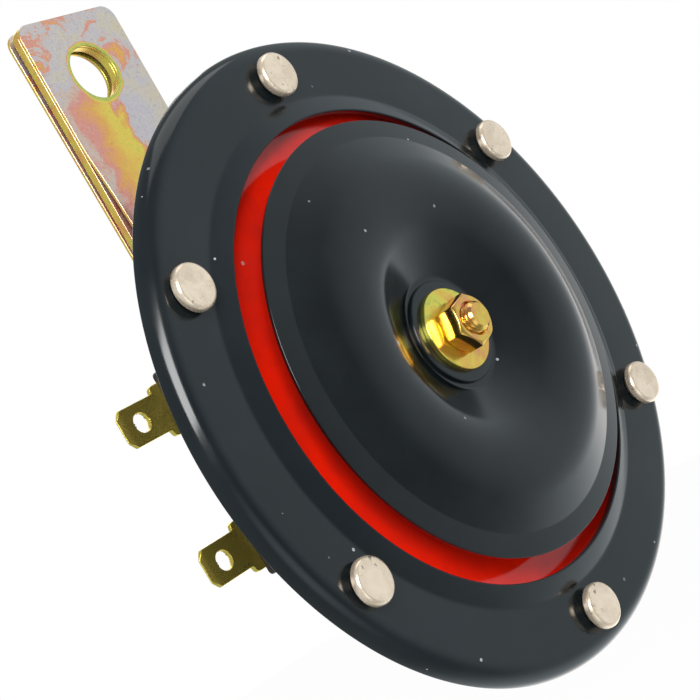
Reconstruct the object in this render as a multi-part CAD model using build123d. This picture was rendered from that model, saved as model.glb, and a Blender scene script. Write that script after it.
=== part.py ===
"""Disc horn for a car, in millimetres.

The horn's axis runs along Y and its front faces -Y. The bracket stands up along +Z, and the origin is the
centre of the bracket's mounting hole, in the middle of the thick leaf.

Pieces are drawn in the horn's own frame, which has its origin on the horn's axis at the seam, the plane where
the clamp ring bears on the front gasket. There X runs to the right, Z up, and Y is the depth behind the seam,
so what stands in front of the seam has a negative depth. place() carries a piece from there to its true place.
"""

from build123d import *

import os
from math import atan2, cos, degrees, radians, sin, sqrt, tan

# ---------------------------------------------------------------- driving dimensions

# Clamp ring, a deep-drawn annulus with a rolled outer edge and a raised inner lip
ring_radius = 56.2
ring_sheet = 1.2
ring_roll_radius = 3.2
ring_skirt_overhang = 0.2
ring_band_width = 11.4
lip_width = 3.6
lip_height = 1.8
lip_foot_bend = 1.6

# Seam rivets
rivet_count = 6
rivet_edge_distance = 6.7
rivet_first_angle = 2.1
rivet_shank_radius = 2.0
rivet_foot_radius = 2.9
rivet_taper_height = 0.95
rivet_head_radius = 3.85
rivet_head_height = 1.4
rivet_head_round = 0.8
rivet_tail_radius = 3.0
rivet_tail_height = 1.2
rivet_edge_round = 0.6

# Diaphragm and its gaskets
diaphragm_sheet = 0.4
gasket_sheet = 0.3
gasket_setback = 0.6
flange_side_clearance = 0.2

# Rear housing, one drawn drum with a narrower cup on its back
housing_sheet = 1.2
drum_depth = 15.3
rivet_to_drum = 11.9
drum_draft = 1.2
drum_mouth_bend = 1.5
drum_floor_bend = 2.5
drum_floor_width = 13.2
cup_depth = 14.3
cup_draft = 0.4
cup_mouth_bend = 1.2
cup_floor_bend = 1.8

# Magnet: pole core with the bracket stud on its back, coil and yoke plate
core_radius = 12.0
bracket_stud_radius = 4.0
bracket_stud_clearance = 0.2
bobbin_wall = 0.9
bobbin_core_clearance = 0.25
bobbin_side_clearance = 0.4
winding_setback = 1.2
yoke_sheet = 1.6
yoke_wall_gap = 2.4
yoke_armature_clearance = 1.0
air_gap = 0.8

# Vibrating assembly: armature, stud and tone disc
armature_length = 15.8
armature_collar_width = 5.0
armature_collar_sheet = 1.5
armature_stud_radius = 2.5
armature_stud_depth = 12.0
stud_proud = 1.4
stud_chamfer = 0.5
thread_clearance = 0.05
support_washer_sheet = 0.8
support_washer_radius = 15.0
sleeve_radius = 6.0
tone_disc_edge_clearance = 3.2
tone_disc_sheet = 0.8
tone_disc_rise = 4.5
tone_disc_rim_width = 3.6
tone_disc_crease_rise = 1.0
tone_disc_crease_bend = 1.0
tone_disc_dome_slope = 29.0
tone_disc_crown_bend = 14.0
tone_disc_well_slope = 28.0
tone_disc_seat_drop = 1.0
tone_disc_seat_bend = 1.2
tone_disc_seat_margin = 0.9
black_washer_radius = 8.8
black_washer_sheet = 0.6
zinc_washer_radius = 7.05
zinc_washer_sheet = 1.0
stud_nut_flats = 8.0
stud_nut_height = 3.9
stud_nut_angle = 47.0

# Contact breaker, on the yoke plate beside the armature
breaker_wall_distance = 10.4
breaker_width = 9.0
breaker_stack_height = 13.0
breaker_stack_length = 10.0
breaker_screw_radius = 1.5
breaker_screw_spacing = 5.6
breaker_screw_head_radius = 2.4
breaker_screw_head_height = 1.5
base_insulator_sheet = 1.2
moving_arm_sheet = 0.4
fixed_arm_sheet = 1.0
top_insulator_sheet = 0.8
clamp_plate_sheet = 1.0
contact_radius = 1.8
contact_height = 1.0
contact_stud_radius = 0.9
contact_drop = 8.0
moving_arm_drop = 11.0
fixed_arm_drop = 19.0
arm_tongue_width = 5.0
arm_tongue_clearance = 0.3
arm_tongue_overlap = 3.0
adjusting_screw_radius = 2.0
adjusting_screw_drop = 16.5
adjusting_screw_proud = 3.6
adjusting_nut_flats = 7.0
adjusting_nut_height = 2.4
adjusting_nut_angle = 15.0
driver_slot_width = 0.7
driver_slot_depth = 0.8
arm_hole_clearance = 0.4

# Terminals, on the back of the drum
terminal_angle = 91.5
terminal_spacing = 24.0
terminal_sheet = 0.8
blade_width = 6.3
blade_length = 9.0
blade_hole_radius = 1.65
blade_hole_from_tip = 4.35
blade_corner = 1.3
blade_bevel = 0.3
blade_bevel_length = 0.95
shoulder_width = 8.6
shoulder_overhang = 2.1
shoulder_corner = 0.9
terminal_foot_margin = 3.6
insulator_sheet = 1.5
insulator_width = 35.6
insulator_overhang = 0.4
insulator_cup_clearance = 0.4
insulator_corner = 0.8
terminal_rivet_radius = 1.6
terminal_rivet_head_radius = 2.8
terminal_rivet_head_height = 1.0
terminal_sleeve_wall = 0.7
inner_insulator_margin = 3.1
notch_clearance = 0.3

# Bracket: three leaves on the bracket stud
bracket_reach = 70.0
bracket_width = 24.0
bracket_tip_margin = 11.2
bracket_corner = 2.6
bracket_foot_margin = 12.0
mount_hole_radius = 5.0
front_leaf_sheet = 0.6
middle_leaf_sheet = 1.5
rear_leaf_sheet = 0.6
front_leaf_bow = 1.4
front_leaf_bow_start = 12.0
front_leaf_bow_end = 57.0
rear_leaf_tip_gap = 1.05
rear_leaf_bend_height = 12.0
bracket_spacer_sheet = 1.0
bracket_spacer_radius = 10.0
lock_washer_sheet = 1.6
lock_washer_radius = 7.4
lock_washer_gap = 1.6
bracket_nut_flats = 13.0
bracket_nut_height = 6.5
bracket_stud_proud = 2.0
edge_round = 0.2

# What every hexagon nut has
nut_chamfer_angle = 30.0
nut_face_share = 0.95

# ---------------------------------------------------------------- radii worked out, from the ring inwards

lip_foot_radius = ring_radius - ring_band_width
opening_radius = lip_foot_radius - lip_width
rivet_circle_radius = ring_radius - rivet_edge_distance
flange_radius = ring_radius - ring_roll_radius - flange_side_clearance
drum_mouth_radius = rivet_circle_radius - rivet_to_drum
drum_floor_radius = drum_mouth_radius - drum_draft
cup_mouth_radius = drum_floor_radius - drum_floor_width
cup_floor_radius = cup_mouth_radius - cup_draft
armature_radius = core_radius
armature_collar_radius = armature_radius + armature_collar_width
tone_disc_radius = opening_radius - tone_disc_edge_clearance
bracket_bore = bracket_stud_radius + bracket_stud_clearance
tone_disc_crease_radius = tone_disc_radius - tone_disc_rim_width
tone_disc_seat_radius = black_washer_radius + tone_disc_seat_margin
yoke_bore = armature_radius + yoke_armature_clearance
yoke_radius = drum_floor_radius - yoke_wall_gap
breaker_offset = drum_floor_radius - breaker_wall_distance
insulator_reach = drum_floor_radius + housing_sheet + insulator_overhang
cup_bend_end = cup_mouth_radius + cup_mouth_bend + 2 * housing_sheet
floor_flat_end = drum_floor_radius + housing_sheet - drum_floor_bend
terminal_rivet_circle = (cup_bend_end + floor_flat_end) / 2
terminal_rivet_reach = sqrt(terminal_rivet_circle**2 - (terminal_spacing / 2) ** 2)

# ---------------------------------------------------------------- depths worked out from them

front_gasket_rear = gasket_sheet
diaphragm_rear = front_gasket_rear + diaphragm_sheet
flange_front = diaphragm_rear + gasket_sheet
flange_rear = flange_front + housing_sheet
skirt_end = flange_rear + ring_skirt_overhang
drum_floor_inside = flange_front + drum_depth
drum_floor_outside = drum_floor_inside + housing_sheet
cup_floor_inside = drum_floor_inside + cup_depth
cup_floor_outside = cup_floor_inside + housing_sheet
yoke_front = drum_floor_inside - yoke_sheet

armature_front = diaphragm_rear + support_washer_sheet
armature_rear = armature_front + armature_length
pole_face = armature_rear + air_gap
stud_end = armature_front + armature_stud_depth

disc_edge_rear = -tone_disc_rise
disc_edge_front = disc_edge_rear - tone_disc_sheet
disc_crease_front = disc_edge_front - tone_disc_crease_rise
disc_seat_front = disc_crease_front + tone_disc_seat_drop
disc_seat_rear = disc_seat_front + tone_disc_sheet
black_washer_front = disc_seat_front - black_washer_sheet
zinc_washer_front = black_washer_front - zinc_washer_sheet
stud_nut_front = zinc_washer_front - stud_nut_height
stud_front = stud_nut_front - stud_proud
front_support_front = front_gasket_rear - support_washer_sheet

moving_arm_rear = yoke_front - base_insulator_sheet
moving_arm_front = moving_arm_rear - moving_arm_sheet
fixed_arm_rear = moving_arm_front - 2 * contact_height
fixed_arm_front = fixed_arm_rear - fixed_arm_sheet
top_insulator_front = fixed_arm_front - top_insulator_sheet
clamp_plate_front = top_insulator_front - clamp_plate_sheet
collar_rear = moving_arm_front - arm_tongue_clearance
collar_front = collar_rear - armature_collar_sheet

spacer_rear = cup_floor_outside + bracket_spacer_sheet
front_leaf_rear = spacer_rear + front_leaf_sheet
middle_leaf_rear = front_leaf_rear + middle_leaf_sheet
rear_leaf_rear = middle_leaf_rear + rear_leaf_sheet
lock_washer_rear = rear_leaf_rear + lock_washer_sheet
bracket_nut_rear = lock_washer_rear + bracket_nut_height
bracket_stud_end = bracket_nut_rear + bracket_stud_proud
middle_leaf_centre = front_leaf_rear + middle_leaf_sheet / 2

# ---------------------------------------------------------------- operations every section uses


def place(shape):
    """Carry a piece from the horn's frame to its place below and in front of the mounting hole."""
    return Pos(0, -middle_leaf_centre, -bracket_reach) * shape


def turned(*corners):
    """A solid turned about the horn's axis, from (radius, depth) or (radius, depth, rounding) corners."""
    points = [corner[:2] for corner in corners]
    roundings = [corner[2] if len(corner) > 2 else 0 for corner in corners]
    outline = FilletPolyline(*points, radius=roundings, close=True)
    return revolve(make_face(outline), axis=Axis.Y)


def ring_solid(bore, radius, front, rear):
    """A plain ring, washer or bush between two depths."""
    return turned((bore, front), (radius, front), (radius, rear), (bore, rear))


def plate(outline, front, rear):
    """A flat piece between two depths, from an outline in X and Z."""
    return extrude(Plane.XZ.offset(-rear) * outline, amount=rear - front)


def drill(radius, front, rear, x=0.0, z=0.0):
    """The round rod that a hole is cut with, or a plain shank."""
    return plate(Pos(x, z) * Circle(radius), front, rear)


def on_circle(radius, angle):
    """X and Z of a point at an angle from the bracket's direction, turning to the left seen from the front."""
    return -radius * sin(radians(angle)), radius * cos(radians(angle))


def around(shape, angle):
    """Turn a piece about the horn's axis, to the left seen from the front."""
    return Rot(0, -angle, 0) * shape


def hex_nut(flats, height, bore, front, angle=0.0):
    """A hexagon nut with its corners chamfered at both ends."""
    rear = front + height
    corner = flats / 2 / cos(radians(30))
    face_radius = nut_face_share * flats / 2
    drop = (corner - face_radius) * tan(radians(nut_chamfer_angle))
    hexagon = plate(Rot(0, 0, 90 + angle) * RegularPolygon(corner, 6), front, rear)
    blank = turned(
        (bore, front), (face_radius, front), (corner, front + drop),
        (corner, rear - drop), (face_radius, rear), (bore, rear),
    )
    return hexagon & blank


# ---------------------------------------------------------------- clamp ring and rivets


def clamp_ring():
    """One pressing: flat band, rolled outer skirt and a lip that leans forward round the opening."""
    slope = atan2(lip_height, lip_foot_radius - opening_radius)
    lip_edge_front = -ring_sheet - lip_height
    lip_edge_rear = lip_edge_front + ring_sheet / cos(slope)
    rear_foot_radius = lip_foot_radius - ring_sheet * tan(slope / 2)
    band = turned(
        (ring_radius, skirt_end, edge_round),
        (ring_radius, -ring_sheet, ring_roll_radius),
        (lip_foot_radius, -ring_sheet, lip_foot_bend),
        (opening_radius, lip_edge_front, edge_round),
        (opening_radius, lip_edge_rear, edge_round),
        (rear_foot_radius, 0, lip_foot_bend + ring_sheet),
        (ring_radius - ring_sheet, 0, ring_roll_radius - ring_sheet),
        (ring_radius - ring_sheet, skirt_end, edge_round),
    )
    return band - seam_holes(lip_edge_front, skirt_end)


def seam_holes(front, rear):
    """The rods that punch the rivet holes through the seam."""
    holes = []
    for number in range(rivet_count):
        x, z = on_circle(rivet_circle_radius, rivet_first_angle + number * 360 / rivet_count)
        holes.append(drill(rivet_shank_radius, front, rear, x, z))
    return holes


def seam_rivets():
    """Plated rivets: flat round head tapered beneath, and a formed tail behind the housing flange."""
    head_rear = -ring_sheet - rivet_taper_height
    head_front = head_rear - rivet_head_height
    tail_rear = flange_rear + rivet_tail_height
    rivet = turned(
        (0, head_front),
        (rivet_head_radius, head_front, rivet_head_round),
        (rivet_head_radius, head_rear),
        (rivet_foot_radius, -ring_sheet),
        (rivet_shank_radius, -ring_sheet),
        (rivet_shank_radius, flange_rear),
        (rivet_tail_radius, flange_rear),
        (rivet_tail_radius, tail_rear, rivet_edge_round),
        (0, tail_rear),
    )
    rivets = []
    for number in range(rivet_count):
        x, z = on_circle(rivet_circle_radius, rivet_first_angle + number * 360 / rivet_count)
        rivets.append(Pos(x, 0, z) * rivet)
    return Compound(rivets)


# ---------------------------------------------------------------- diaphragm, gaskets and housing


def seam_sheet(bore, front, rear):
    """A flat sheet clamped in the seam, with the rivet holes through it."""
    return ring_solid(bore, flange_radius, front, rear) - seam_holes(front, rear)


def rear_housing():
    """One deep-drawn shell: flange, drum with a slight draft, annular floor and the narrower coil cup."""
    sheet = housing_sheet
    shell = turned(
        (flange_radius, flange_front),
        (drum_mouth_radius, flange_front, drum_mouth_bend),
        (drum_floor_radius, drum_floor_inside, drum_floor_bend - sheet),
        (cup_mouth_radius, drum_floor_inside, cup_mouth_bend),
        (cup_floor_radius, cup_floor_inside, cup_floor_bend - sheet),
        (bracket_bore, cup_floor_inside),
        (bracket_bore, cup_floor_outside),
        (cup_floor_radius + sheet, cup_floor_outside, cup_floor_bend),
        (cup_mouth_radius + sheet, drum_floor_outside, cup_mouth_bend + sheet),
        (drum_floor_radius + sheet, drum_floor_outside, drum_floor_bend),
        (drum_mouth_radius + sheet, flange_rear, drum_mouth_bend + sheet),
        (flange_radius, flange_rear),
    )
    shell -= seam_holes(flange_front, flange_rear)
    screw_at = (breaker_offset, -adjusting_screw_drop)
    shell -= drill(adjusting_screw_radius, yoke_front, drum_floor_outside, *screw_at)
    for x, z in breaker_screw_centres():
        shell -= drill(breaker_screw_radius, yoke_front, drum_floor_outside, x, z)
    for x, z in terminal_rivet_centres():
        sleeve_radius_outside = terminal_rivet_radius + terminal_sleeve_wall
        shell -= drill(sleeve_radius_outside, drum_floor_inside, drum_floor_outside, x, z)
    return shell


# ---------------------------------------------------------------- magnet


def pole_core():
    """Soft-iron core on the floor of the cup, with the bracket stud turned on its back."""
    return turned(
        (0, pole_face),
        (core_radius, pole_face, edge_round),
        (core_radius, cup_floor_inside),
        (bracket_stud_radius, cup_floor_inside),
        (bracket_stud_radius, bracket_stud_end, stud_chamfer),
        (0, bracket_stud_end),
    )


bobbin_bore = core_radius + bobbin_core_clearance
bobbin_radius = cup_floor_radius - bobbin_side_clearance
bobbin_front = drum_floor_inside
bobbin_rear = cup_floor_inside


def coil_bobbin():
    """Moulded spool, trapped between the cup's floor and the yoke plate."""
    barrel = bobbin_bore + bobbin_wall
    return turned(
        (bobbin_bore, bobbin_front),
        (bobbin_radius, bobbin_front),
        (bobbin_radius, bobbin_front + bobbin_wall),
        (barrel, bobbin_front + bobbin_wall),
        (barrel, bobbin_rear - bobbin_wall),
        (bobbin_radius - cup_floor_bend, bobbin_rear - bobbin_wall),
        (bobbin_radius - cup_floor_bend, bobbin_rear),
        (bobbin_bore, bobbin_rear),
    )


def coil_winding():
    """The enamelled copper winding as one turned body."""
    return ring_solid(
        bobbin_bore + bobbin_wall, bobbin_radius - cup_floor_bend - winding_setback,
        bobbin_front + bobbin_wall, bobbin_rear - bobbin_wall,
    )


def yoke_plate():
    """Steel plate over the coil, with a bore that the armature passes through."""
    body = ring_solid(yoke_bore, yoke_radius, yoke_front, drum_floor_inside)
    body -= drill(adjusting_screw_radius, yoke_front, drum_floor_inside, breaker_offset, -adjusting_screw_drop)
    for x, z in breaker_screw_centres():
        body -= drill(breaker_screw_radius, yoke_front, drum_floor_inside, x, z)
    notch_floor = terminal_rivet_reach - inner_insulator_margin - notch_clearance
    notch = Pos((notch_floor + yoke_radius + 1) / 2, 0) * Rectangle(
        yoke_radius + 1 - notch_floor, inner_insulator_width + 2 * notch_clearance
    )
    return body - toward_terminals(notch, yoke_front, drum_floor_inside)

# ---------------------------------------------------------------- contact breaker


def breaker_screw_centres():
    """Two screws through the stack, one above the other."""
    height = breaker_stack_height
    return [(breaker_offset, height + side * breaker_screw_spacing / 2) for side in (-1, 1)]


def breaker_block(front, rear):
    """One flat layer of the stack, with its two screw holes."""
    layer = plate(
        Pos(breaker_offset, breaker_stack_height) * Rectangle(breaker_width, breaker_stack_length), front, rear
    )
    for x, z in breaker_screw_centres():
        layer -= drill(breaker_screw_radius, front, rear, x, z)
    return layer


def breaker_arm(drop, front, rear):
    """A flat arm that hangs down from the stack beside the armature."""
    top = breaker_stack_height + breaker_stack_length / 2
    strip = Pos(breaker_offset, (top - drop) / 2) * Rectangle(breaker_width, top + drop)
    arm = plate(strip, front, rear)
    for x, z in breaker_screw_centres():
        arm -= drill(breaker_screw_radius + arm_hole_clearance, front, rear, x, z)
    return arm - drill(contact_stud_radius, front, rear, breaker_offset, -contact_drop)


def breaker_moving_arm():
    """Spring arm with a side tongue that reaches behind the armature's collar."""
    tip = armature_collar_radius - arm_tongue_overlap
    tongue = Pos((breaker_offset + tip) / 2, 0) * Rectangle(breaker_offset - tip, arm_tongue_width)
    arm = breaker_arm(moving_arm_drop, moving_arm_front, moving_arm_rear)
    return arm + plate(tongue, moving_arm_front, moving_arm_rear)


def breaker_fixed_arm():
    """Stiff arm that the adjusting screw bears on."""
    return breaker_arm(fixed_arm_drop, fixed_arm_front, fixed_arm_rear)


def breaker_contact(face, back, foot):
    """Silver contact: a round head with a stud riveted into its arm."""
    low, high = sorted((face, back))
    head = drill(contact_radius, low, high, breaker_offset, -contact_drop)
    low, high = sorted((back, foot))
    return head + drill(contact_stud_radius, low, high, breaker_offset, -contact_drop)


def breaker_screws():
    """The two screws that hold the stack to the yoke plate and the drum's floor."""
    screws = []
    for x, z in breaker_screw_centres():
        shank = drill(breaker_screw_radius, clamp_plate_front, drum_floor_outside, x, z)
        head = drill(
            breaker_screw_head_radius, clamp_plate_front - breaker_screw_head_height, clamp_plate_front, x, z
        )
        screws.append(shank + head)
    return Compound(screws)


def adjusting_screw():
    """Screw from the back of the drum that sets the fixed contact, with a slot for a driver."""
    z = -adjusting_screw_drop
    rear = drum_floor_outside + adjusting_screw_proud
    rod = drill(adjusting_screw_radius, fixed_arm_rear, rear, breaker_offset, z)
    slot = Pos(breaker_offset, z) * Rectangle(3 * adjusting_screw_radius, driver_slot_width)
    return rod - plate(slot, rear - driver_slot_depth, rear)


def adjusting_nut():
    """Locknut on the adjusting screw, against the drum."""
    nut = hex_nut(adjusting_nut_flats, adjusting_nut_height, 0, drum_floor_outside, adjusting_nut_angle)
    nut -= drill(adjusting_screw_radius, drum_floor_outside, drum_floor_outside + adjusting_nut_height)
    return Pos(breaker_offset, 0, -adjusting_screw_drop) * nut


# ---------------------------------------------------------------- terminals


inner_insulator_width = terminal_spacing + 2 * inner_insulator_margin


def terminal_rivet_centres():
    """Centres of the two terminal rivets, in the middle of the drum's flat floor."""
    spread = degrees(atan2(terminal_spacing / 2, terminal_rivet_reach))
    return [on_circle(terminal_rivet_circle, terminal_angle + turn) for turn in (-spread, spread)]


def toward_terminals(outline, front, rear):
    """A flat piece drawn with its reach along X and its side along Y, turned to the terminals' direction."""
    return around(Rot(0, -90, 0) * plate(outline, front, rear), terminal_angle)


def terminal_insulator():
    """Phenolic plate on the back of the drum, with collars down through the two rivet holes."""
    front = drum_floor_outside
    inner_edge = cup_bend_end + insulator_cup_clearance
    outline = Pos((inner_edge + insulator_reach) / 2, 0) * RectangleRounded(
        insulator_reach - inner_edge, insulator_width, insulator_corner
    )
    body = toward_terminals(outline, front, front + insulator_sheet)
    for x, z in terminal_rivet_centres():
        body += drill(terminal_rivet_radius + terminal_sleeve_wall, drum_floor_inside, front, x, z)
        body -= drill(terminal_rivet_radius, drum_floor_inside, front + insulator_sheet, x, z)
    return body


def inner_insulator():
    """Thin phenolic plate inside the drum, under the rivets' heads."""
    front = drum_floor_inside - insulator_sheet
    outline = Pos(terminal_rivet_reach, 0) * RectangleRounded(
        2 * inner_insulator_margin, inner_insulator_width, insulator_corner
    )
    body = toward_terminals(outline, front, drum_floor_inside)
    for x, z in terminal_rivet_centres():
        body -= drill(terminal_rivet_radius, front, drum_floor_inside, x, z)
    return body


terminal_front = drum_floor_outside + insulator_sheet
terminal_rear = terminal_front + terminal_sheet


def terminal(side):
    """A spade terminal: a broad foot with round shoulders and a blade with clipped corners and a coined tip."""
    shoulder_reach = insulator_reach + shoulder_overhang
    tip = shoulder_reach + blade_length
    foot_start = terminal_rivet_reach - terminal_foot_margin
    foot = Pos((foot_start + shoulder_reach) / 2, side) * RectangleRounded(
        shoulder_reach - foot_start, shoulder_width, shoulder_corner
    )
    blade = Pos((foot_start + tip) / 2, side) * Rectangle(tip - foot_start, blade_width)
    blade = chamfer(blade.vertices().group_by(Axis.X)[-1], blade_corner)
    hole = Pos(tip - blade_hole_from_tip, side) * Circle(blade_hole_radius)
    body = plate(foot + blade - hole, terminal_front, terminal_rear)
    tip_face = body.faces().sort_by(Axis.X)[-1]
    body = chamfer(tip_face.edges().filter_by(Axis.Z), blade_bevel, blade_bevel_length, reference=tip_face)
    body = around(Rot(0, -90, 0) * body, terminal_angle)
    for x, z in terminal_rivet_centres():
        body -= drill(terminal_rivet_radius, terminal_front, terminal_rear, x, z)
    return body


def terminal_rivets():
    """Hollow-headed rivets that hold a terminal, both insulators and the drum's floor together."""
    inner_front = drum_floor_inside - insulator_sheet
    rivets = []
    for x, z in terminal_rivet_centres():
        shank = drill(terminal_rivet_radius, inner_front, terminal_rear, x, z)
        for front in (inner_front - terminal_rivet_head_height, terminal_rear):
            shank += drill(terminal_rivet_head_radius, front, front + terminal_rivet_head_height, x, z)
        rivets.append(shank)
    return Compound(rivets)


# ---------------------------------------------------------------- vibrating assembly


def armature():
    """Soft-iron plunger behind the diaphragm, with the collar that opens the contacts."""
    return turned(
        (armature_stud_radius, armature_front),
        (armature_radius, armature_front),
        (armature_radius, collar_front),
        (armature_collar_radius, collar_front),
        (armature_collar_radius, collar_rear),
        (armature_radius, collar_rear),
        (armature_radius, armature_rear, edge_round),
        (0, armature_rear),
        (0, stud_end),
        (armature_stud_radius, stud_end),
    )


def armature_stud():
    """Threaded stud from the armature to the nut in front of the tone disc."""
    return turned(
        (0, stud_front),
        (armature_stud_radius - stud_chamfer, stud_front),
        (armature_stud_radius, stud_front + stud_chamfer),
        (armature_stud_radius, stud_end),
        (0, stud_end),
    )


stud_bore = armature_stud_radius + thread_clearance


def tone_disc():
    """Pressed plate: a flat seat in a well, a domed crown round it, a crease and a rim that leans back."""
    sheet = tone_disc_sheet
    seat, crease, edge = tone_disc_seat_radius, tone_disc_crease_radius, tone_disc_radius
    well = -radians(tone_disc_well_slope)
    dome = radians(tone_disc_dome_slope)
    rim = atan2(tone_disc_crease_rise, tone_disc_rim_width)
    crown = (
        (disc_seat_front - disc_crease_front - seat * tan(well) + crease * tan(dome)) / (tan(dome) - tan(well))
    )
    crown_front = disc_crease_front - (crease - crown) * tan(dome)

    def behind(radius, depth, slope_before, slope_after):
        """The corner of the rear face behind a corner of the front face, a sheet's thickness away."""
        middle = (slope_before + slope_after) / 2
        reach = sheet / cos((slope_after - slope_before) / 2)
        return radius - reach * sin(middle), depth + reach * cos(middle)

    return turned(
        (stud_bore, disc_seat_front),
        (seat, disc_seat_front, tone_disc_seat_bend),
        (crown, crown_front, tone_disc_crown_bend),
        (crease, disc_crease_front, tone_disc_crease_bend),
        (edge, disc_edge_front),
        behind(edge, disc_edge_front, rim, rim),
        (*behind(crease, disc_crease_front, dome, rim), tone_disc_crease_bend + sheet),
        (*behind(crown, crown_front, well, dome), tone_disc_crown_bend - sheet),
        (*behind(seat, disc_seat_front, 0, well), tone_disc_seat_bend + sheet),
        (stud_bore, disc_seat_rear),
    )


def stud_nut():
    """Hexagon nut that holds the tone disc on the stud."""
    nut = hex_nut(stud_nut_flats, stud_nut_height, 0, stud_nut_front, stud_nut_angle)
    return nut - drill(stud_bore, stud_nut_front, zinc_washer_front)


# ---------------------------------------------------------------- bracket


def leaf_outline():
    """The leaves' common outline: rounded corners at the tip, a round foot about the stud."""
    tip = bracket_reach + bracket_tip_margin
    half = bracket_width / 2
    strip = Pos(0, (tip - bracket_foot_margin + half) / 2) * Rectangle(
        bracket_width, tip + bracket_foot_margin - half
    )
    strip = fillet(strip.vertices().group_by(Axis.Y)[-1], bracket_corner)
    foot = Pos(0, half - bracket_foot_margin) * Circle(half)
    holes = Circle(bracket_bore) + Pos(0, bracket_reach) * Circle(mount_hole_radius)
    return strip + foot - holes


def leaf(front_line, rear_line):
    """A leaf between two side-view lines of (depth, height) edges, cut to the common outline."""
    side_view = make_face([*front_line, *rear_line])
    block = extrude(Plane.YZ * side_view, amount=bracket_width, both=True)
    return block & plate(leaf_outline(), spacer_rear - 5, lock_washer_rear + 5)


leaf_top = bracket_reach + bracket_tip_margin + 1
leaf_bottom = -bracket_foot_margin - 1


def leaf_ends(front_top, rear_top, front_foot, rear_foot):
    """The lines that close a leaf's side view at its tip and its foot."""
    return [
        Line((front_top, leaf_top), (rear_top, leaf_top)),
        Line((rear_foot, leaf_bottom), (front_foot, leaf_bottom)),
    ]


def bracket_middle_leaf():
    """Thick flat strip."""
    return plate(leaf_outline(), front_leaf_rear, middle_leaf_rear)


def bracket_front_leaf():
    """Thin strip, bowed towards the drum between the stud and the mounting hole."""
    middle = (front_leaf_bow_start + front_leaf_bow_end) / 2

    def face(depth):
        return [
            Line((depth, leaf_bottom), (depth, front_leaf_bow_start)),
            ThreePointArc(
                (depth, front_leaf_bow_start), (depth - front_leaf_bow, middle), (depth, front_leaf_bow_end)
            ),
            Line((depth, front_leaf_bow_end), (depth, leaf_top)),
        ]

    ends = leaf_ends(spacer_rear, front_leaf_rear, spacer_rear, front_leaf_rear)
    return leaf([*face(spacer_rear), *ends], face(front_leaf_rear))


def bracket_rear_leaf():
    """Thin strip, bent a little back above the stud so that its tip stands off."""
    flare = rear_leaf_tip_gap / (bracket_reach + bracket_tip_margin - rear_leaf_bend_height)

    def face(depth):
        top = depth + flare * (leaf_top - rear_leaf_bend_height)
        return [
            Line((depth, leaf_bottom), (depth, rear_leaf_bend_height)),
            Line((depth, rear_leaf_bend_height), (top, leaf_top)),
        ]

    shift = flare * (leaf_top - rear_leaf_bend_height)
    ends = leaf_ends(middle_leaf_rear + shift, rear_leaf_rear + shift, middle_leaf_rear, rear_leaf_rear)
    return leaf([*face(middle_leaf_rear), *ends], face(rear_leaf_rear))


def lock_washer():
    """Split spring washer under the bracket nut."""
    body = ring_solid(bracket_bore, lock_washer_radius, rear_leaf_rear, lock_washer_rear)
    cut = Pos(0, -lock_washer_radius) * Rot(0, 0, 20) * Rectangle(lock_washer_gap, 2 * lock_washer_radius)
    return body - plate(cut, rear_leaf_rear, lock_washer_rear)


def bracket_nut():
    """Hexagon nut on the bracket stud."""
    nut = hex_nut(bracket_nut_flats, bracket_nut_height, 0, lock_washer_rear, 0)
    return nut - drill(bracket_stud_radius, lock_washer_rear, bracket_nut_rear)


# ---------------------------------------------------------------- all pieces

rear_gasket_bore = drum_mouth_radius + drum_mouth_bend + gasket_setback

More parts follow.
